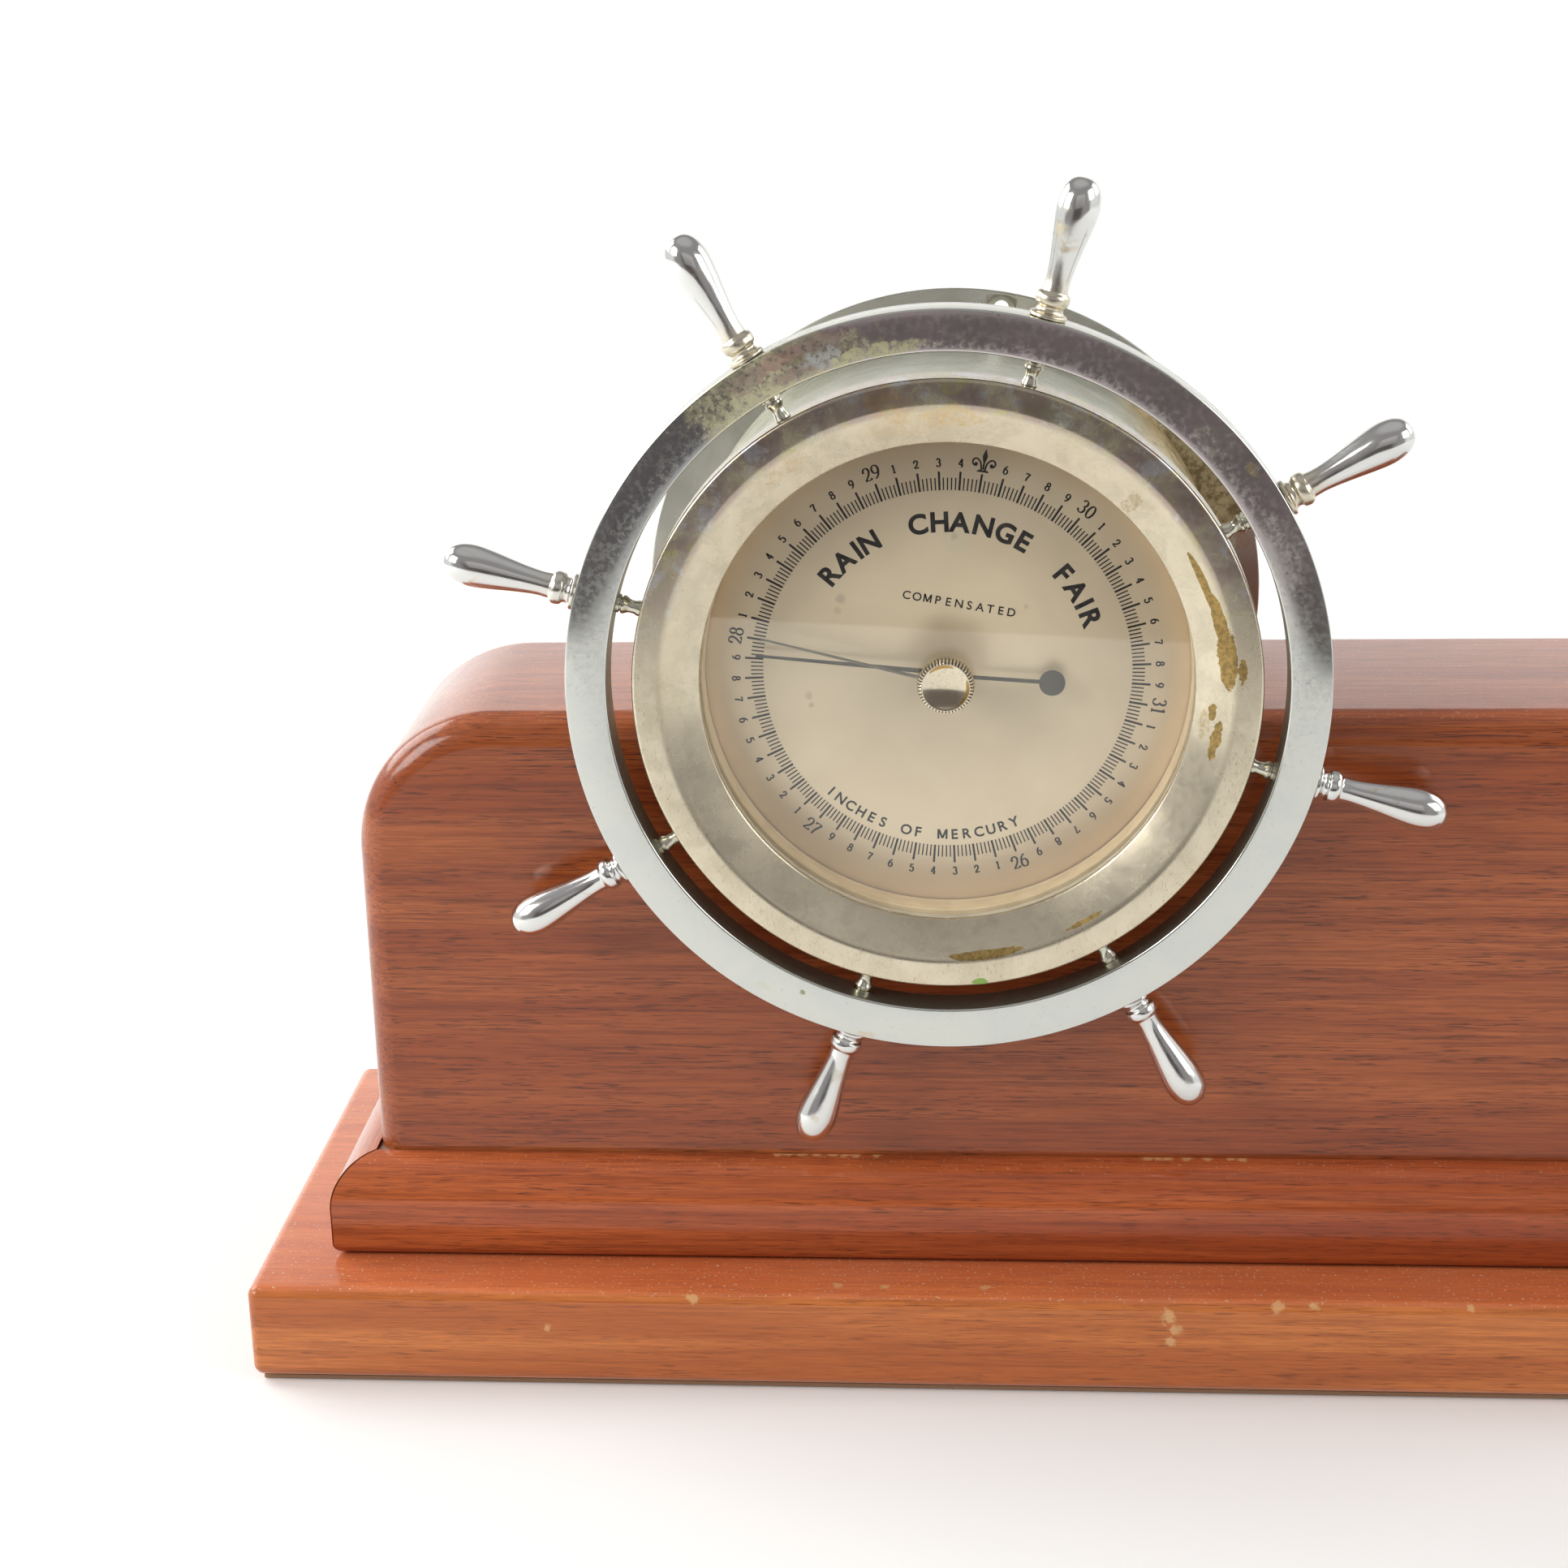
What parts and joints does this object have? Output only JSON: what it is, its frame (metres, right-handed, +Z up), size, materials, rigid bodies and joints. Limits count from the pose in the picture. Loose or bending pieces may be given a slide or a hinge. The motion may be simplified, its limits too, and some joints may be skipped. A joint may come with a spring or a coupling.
{
  "type": "ship barometer",
  "caption": "Round aneroid barometer in a chromed drum case, ringed by a ship's-wheel with turned handles, set in a notched wooden mantel stand.",
  "frame": {"origin": "middle of the stand's underside, at the felt's lower face", "axes": "+Z up, +X to the right along the stand's length as the dial is read, -Y the way the dial faces"},
  "size_m": [0.4074, 0.1408, 0.2984],
  "materials": {
    "mahogany": "high-gloss lacquered red-brown hardwood",
    "felt": "green baize",
    "chrome": "polished plating, tarnished in places",
    "worn_chrome": "worn plating, brass showing through",
    "nickel": "dull nickel-plated brass, corroded",
    "packing": "matte aged packing",
    "glass": "clear plate glass",
    "cream_trim": "cream enamelled brass",
    "silvered_dial": "silvered and aged brass with black scale",
    "dark_steel": "blackened steel",
    "spring_steel": "ground steel",
    "brass": "plain machined brass"
  },
  "bodies": {
    "stand": {"arbor_bridge": "brass", "arbor_cock": "brass", "base_felt": "felt", "bezel": "worn_chrome", "bezel_gasket": "packing", "block": "mahogany", "capsule": "brass", "case_drum": "nickel", "case_flange": "nickel", "dial": "silvered_dial", "dial_pillar_1": "brass", "dial_pillar_2": "brass", "dial_pillar_3": "brass", "dial_sleeve": "cream_trim", "flange_screw_1": "brass", "flange_screw_2": "brass", "glass": "glass", "glass_bush": "brass", "hairspring": "spring_steel", "handle_1": "chrome", "handle_2": "chrome", "handle_3": "chrome", "handle_4": "chrome", "handle_5": "chrome", "handle_6": "chrome", "handle_7": "chrome", "handle_8": "chrome", "moulding_back": "mahogany", "moulding_front": "mahogany", "moulding_left": "mahogany", "moulding_right": "mahogany", "movement_plate": "brass", "movement_post_1": "brass", "movement_post_2": "brass", "movement_post_3": "brass", "plinth_board": "mahogany", "plinth_screw_left": "brass", "plinth_screw_right": "brass", "rocking_bracket": "brass", "spoke_pin_1": "worn_chrome", "spoke_pin_2": "worn_chrome", "spoke_pin_3": "worn_chrome", "spoke_pin_4": "worn_chrome", "spoke_pin_5": "worn_chrome", "spoke_pin_6": "worn_chrome", "spoke_pin_7": "worn_chrome", "spoke_pin_8": "worn_chrome", "spring_bridge": "brass", "wheel_rim": "chrome"},
    "set_hand": {"set_knob": "chrome", "set_hand": "spring_steel"},
    "pointer": {"pointer_hand": "dark_steel", "pointer_arbor": "brass"},
    "rocker": {"rocking_shaft": "spring_steel"},
    "chain": {"chain": "spring_steel"},
    "spring_arm": {"mainspring": "spring_steel", "main_lever": "spring_steel"},
    "link": {"lever_link": "spring_steel"},
    "capsule_top": {"capsule_stud": "brass"},
    "adjuster": {"adjusting_screw": "brass"}
  },
  "joints": [
    {"name": "set_hand_turn", "type": "hinge", "parent": "stand", "child": "set_hand", "pos_m": [-0.02585, -0.0582, 0.1795], "axis": [0, 1, 0], "continuous": true},
    {"name": "pointer_turn", "type": "hinge", "parent": "stand", "child": "pointer", "pos_m": [-0.02585, -0.0582, 0.1795], "axis": [0, 1, 0], "range_deg": [-57, 183], "stiffness_Nm_per_rad": 0.001},
    {"name": "rocker_turn", "type": "hinge", "parent": "stand", "child": "rocker", "pos_m": [0.01315, -0.0187, 0.1795], "axis": [0, 0, 1], "range_deg": [-18.4, 5.8]},
    {"name": "chain_slide", "type": "slide", "parent": "stand", "child": "chain", "axis": [1, 0, 0], "range_m": [-0.00385, 0.0012]},
    {"name": "spring_tilt", "type": "hinge", "parent": "stand", "child": "spring_arm", "pos_m": [-0.06185, -0.0106, 0.1795], "axis": [0, 0, 1], "range_deg": [-0.24, 0.77]},
    {"name": "link_slide", "type": "slide", "parent": "stand", "child": "link", "axis": [0, 1, 0], "range_m": [-0.0003, 0.00096]},
    {"name": "knife_edge", "type": "hinge", "parent": "spring_arm", "child": "capsule_top", "pos_m": [-0.02585, -0.0115, 0.1795], "axis": [0, 0, 1], "range_deg": [-0.77, 0.24]},
    {"name": "adjuster_turn", "type": "hinge", "parent": "stand", "child": "adjuster", "pos_m": [-0.06585, -0.0582, 0.1795], "axis": [0, 1, 0], "range_deg": [-270, 270]}
  ],
  "couplings": [
    {"joint": "rocker_turn", "follows": "pointer_turn", "ratio": -0.1},
    {"joint": "chain_slide", "follows": "pointer_turn", "m_per_rad": -0.0012},
    {"joint": "spring_tilt", "follows": "pointer_turn", "ratio": 0.0041667},
    {"joint": "link_slide", "follows": "pointer_turn", "m_per_rad": 0.0003},
    {"joint": "knife_edge", "follows": "pointer_turn", "ratio": -0.0041667}
  ]
}
